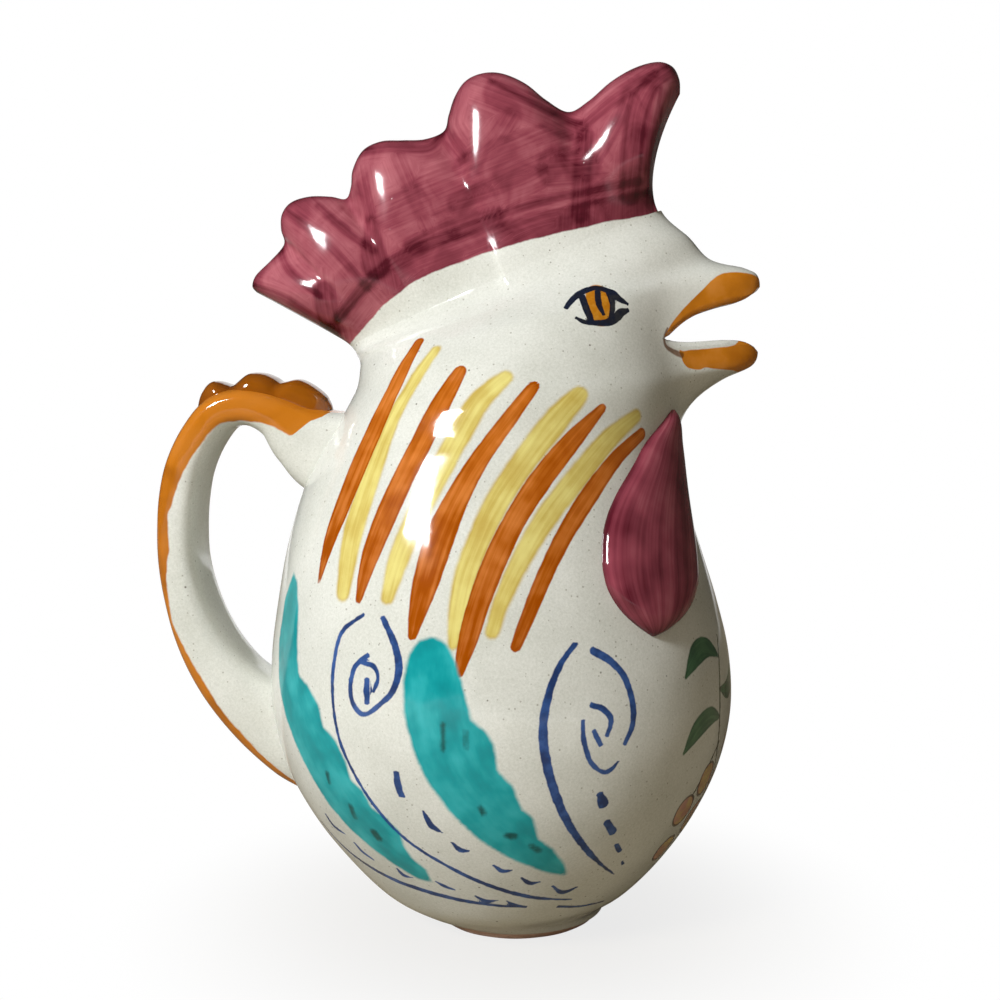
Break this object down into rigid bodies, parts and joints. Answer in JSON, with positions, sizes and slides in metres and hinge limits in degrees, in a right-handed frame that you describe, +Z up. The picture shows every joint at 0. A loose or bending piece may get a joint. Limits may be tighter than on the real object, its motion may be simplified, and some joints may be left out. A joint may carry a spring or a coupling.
{
  "type": "chicken pitcher",
  "caption": "Glazed earthenware jug in the shape of a rooster; pours and fills through the open beak, with a strap handle, a crested thumb rest, comb and wattles.",
  "frame": {"origin": "centre of the flat foot, on the surface that the jug stands on", "axes": "+X is the way the beak points, +Y is the rooster's left, +Z is up and along the jug's height"},
  "size_m": [0.1979, 0.1442, 0.2809],
  "materials": {
    "cream_glaze": "glossy speckled cream glaze with painted feather strokes, scrolls and leaf feathers",
    "bare_clay": "bare fired clay, matt",
    "plum_glaze": "glossy streaked plum glaze",
    "beak_glaze": "glossy ochre lips on cream glaze",
    "wattle_glaze": "glossy streaked plum glaze",
    "handle_glaze": "glossy cream glaze inside, ochre on the outer edge",
    "ochre_glaze": "glossy ochre glaze"
  },
  "bodies": {
    "root": {"body": "cream_glaze", "foot": "bare_clay", "comb": "plum_glaze", "upper_beak": "beak_glaze", "lower_beak": "beak_glaze", "wattle_right": "wattle_glaze", "wattle_left": "wattle_glaze", "handle": "handle_glaze", "crest": "ochre_glaze"}
  },
  "joints": []
}
